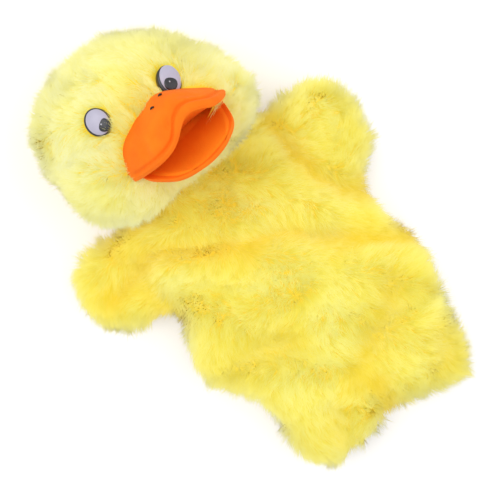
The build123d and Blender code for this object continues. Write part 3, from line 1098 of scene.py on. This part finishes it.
def mouth_lining_mesh():
    """The cloth inside the mouth: one sheet that runs from the upper palate round the hinge to the lower."""
    points = []
    across, along = 60, 80
    for i in range(along + 1):
        s = -1 + 2 * i / along
        reach = abs(s)
        bill, turn, away = (UPPER_BILL, UPPER, 1) if s > 0 else (LOWER_BILL, LOWER, -1)
        z = bill.length * 0.96 * reach
        spread = math.sqrt(1 - (z / bill.length) ** 2) ** 0.8
        for j in range(across + 1):
            u = -1 + 2 * j / across
            x = 0.97 * (bill.right if u > 0 else bill.left) * spread * u
            tucked = max(float(ease(abs(u), 0.82, 0.18)), float(ease(reach, 0.9, 0.1)))
            dish = bill.hollow * (1 - u * u) - bill.lip * u**4 - 0.8 + 1.8 * tucked
            y = dish * min(1.0, reach / 0.15)
            if s > 0:
                y += float(lip_wave(x, z / bill.length)) * min(1.0, reach / 0.15)
            else:
                y += 1.2 * (z / bill.length) ** 3
            points.append(MOUTH + turn @ np.array([x, y * away, z - 1.0]))
    faces = []
    for i in range(along):
        for j in range(across):
            a = i * (across + 1) + j
            faces.append((a, a + 1, a + across + 2, a + across + 1))
    return np.array(points), faces


points, faces = mouth_lining_mesh()
mouth_lining = make_mesh("mouth_lining", points, faces, MOUTH_CLOTH_PAINTED_LIGHT)
for piece, body in ((upper_bill, "head"), (lower_bill, "jaw")):
    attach(piece, body)
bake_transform(mouth_lining)
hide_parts("upper_bill_cover", "upper_bill_padding", "upper_mouth_board")
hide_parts("lower_bill_cover", "lower_bill_padding", "lower_mouth_board")
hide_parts("upper_mouth_lining", "lower_mouth_lining")

# ---------------------------------------------------------------- eyes and nostril stitches


# How far an eye stands off the skin, and how deep its side goes into the fur.
EYE_LIFT = 3.0
EYE_SKIRT = 3.0


def skin_height(x, y):
    """The top of the head's skin over a point, from the crown piece's own mesh."""
    co = points_of(crown_skin)
    gap = np.hypot(co[:, 0] - x, co[:, 1] - y)
    near = np.argsort(np.where(co[:, 2] > 45, gap, 1e9))[:6]
    return float(co[near, 2].mean())


def eye_basis(x, y, tilt):
    """A frame on the head at an eye: its third axis out of the skin, its second up the oval."""
    z = skin_height(x, y)
    out = np.array([(x - HEAD_CENTRE[0]) / 64**2, (y - HEAD_CENTRE[1]) / 52**2, (z - HEAD_CENTRE[2]) / 47**2])
    out /= np.linalg.norm(out)
    up = np.array([math.sin(tilt), math.cos(tilt), 0])
    up -= (up @ out) * out
    up /= np.linalg.norm(up)
    side = np.cross(up, out)
    return np.array([x, y, z]) + out * EYE_LIFT, np.stack([side, up, out], 1)


def dome(name, origin, basis, centre, radii, skin, lift=0.0):
    """A shallow oval button on an eye."""
    rings, around = 14, 48
    points = [(centre[0], centre[1], radii[2] + lift)]
    for i in range(1, rings + 1):
        a = math.pi / 2 * i / rings
        for j in range(around):
            t = 2 * math.pi * j / around
            points.append(
                (
                    centre[0] + radii[0] * math.sin(a) * math.cos(t),
                    centre[1] + radii[1] * math.sin(a) * math.sin(t),
                    radii[2] * math.cos(a) + lift,
                )
            )
    points += [(x, y, z - EYE_SKIRT) for x, y, z in points[-around:]]
    faces = [(0, 1 + j, 1 + (j + 1) % around) for j in range(around)]
    for i in range(rings):
        for j in range(around):
            a, b = 1 + i * around + j, 1 + i * around + (j + 1) % around
            faces.append((a, a + around, b + around, b))
    world = origin + np.array(points) @ basis.T
    return make_mesh(name, world, faces, skin)


EYES = {
    "right": dict(tilt=0.02, radii=(6.6, 7.8, 2.6), pupil=(2.0, -3.8, 3.7, 3.9), rim=(-0.4, 0.2)),
    "left": dict(tilt=0.42, radii=(6.2, 8.3, 2.6), pupil=(-1.0, -3.0, 3.8, 4.1), rim=(-0.5, -0.5)),
}
for side, eye in EYES.items():
    origin, basis = eye_basis(*EYE_PLACES[side], eye["tilt"])
    rx, ry, rz = eye["radii"]
    px, py, pa, pb = eye["pupil"]
    rim_radii = (rx + 0.7, ry + 0.7, rz - 0.5)
    rim = dome(f"{side}_eye_rim_piece", origin, basis, eye["rim"], rim_radii, EYE_BLACK, -0.5)
    white = dome(f"{side}_eye_white_piece", origin, basis, (0, 0), (rx, ry, rz), EYE_WHITE)
    height = rz * math.sqrt(max(0.0, 1 - (px / rx) ** 2 - (py / ry) ** 2))
    pupil = dome(f"{side}_eye_pupil_piece", origin, basis, (px, py), (pa, pb, 0.9), EYE_BLACK, height - 0.35)
    spark_at, spark_radii = (px - 0.6, py + 0.9), (0.8, 0.9, 0.3)
    spark = dome(f"{side}_eye_spark_piece", origin, basis, spark_at, spark_radii, EYE_SPARK, height + 0.25)
    for piece in (rim, white, pupil, spark):
        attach(piece, "head")
    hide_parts(f"{side}_eye_white")
    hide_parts(f"{side}_eye_pupil")


def stitch(name, local, angle):
    """One short thread lying in the bill's cloth."""
    x, y, z = local
    data = bpy.data.curves.new(name, "CURVE")
    data.dimensions = "3D"
    data.bevel_depth = 0.00055
    data.bevel_resolution = 3
    spline = data.splines.new("POLY")
    spline.points.add(6)
    for k in range(7):
        s = -1 + 2 * k / 6
        lift = 0.45 * (1 - s * s)
        point = mouth_point(x + 1.3 * s * math.sin(angle), y + lift, z + 1.5 * s * math.cos(angle))
        spline.points[k].co = (*point, 1)
    obj = bpy.data.objects.new(name, data)
    bpy.context.scene.collection.objects.link(obj)
    data.materials.append(THREAD)
    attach(obj, "head")
    return obj


def bill_top(x, z):
    """A point of the upper bill's outer side, in the bill's own frame."""
    gap = np.hypot(upper_local[:, 0] - x, upper_local[:, 2] - z)
    near = np.argsort(np.where(upper_local[:, 1] > 8, gap, 1e9))[:4]
    return (x, float(upper_local[near, 1].mean()) + 0.3, z)


first = stitch("right_nostril_stitch", bill_top(-5.5, 30.0), 0.5)
stitch("left_nostril_stitch", bill_top(2.8, 30.0), 0.5)
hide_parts("nostril_stitches")

# ---------------------------------------------------------------- table and light


def add_stage():
    bpy.ops.mesh.primitive_plane_add(size=8, location=(0, 0, -0.0002))
    floor = bpy.context.object
    floor.name = "table"
    made, nodes, links, shader = material("table paint")
    shader.inputs["Base Color"].default_value = (0.9, 0.9, 0.9, 1)
    shader.inputs["Roughness"].default_value = 0.9
    floor.data.materials.append(made)


def area_light(name, at, aim, size, power):
    data = bpy.data.lights.new(name, "AREA")
    data.shape = "SQUARE"
    data.size = size
    data.energy = power
    lamp = bpy.data.objects.new(name, data)
    bpy.context.scene.collection.objects.link(lamp)
    lamp.location = at
    lamp.rotation_euler = (Vector(at) - Vector(aim)).to_track_quat("Z", "Y").to_euler()


add_stage()
area_light("key", (-0.35, 0.75, 1.3), (0, 0, 0.03), 1.0, 8.3)
area_light("fill", (0.9, -0.5, 1.1), (0, 0, 0.03), 1.4, 5)
world = bpy.data.worlds.new("studio")
bpy.context.scene.world = world
world.use_nodes = True
world.node_tree.nodes["Background"].inputs["Color"].default_value = (1, 1, 1, 1)
world.node_tree.nodes["Background"].inputs["Strength"].default_value = 0.92
bpy.context.scene.view_settings.view_transform = "Standard"
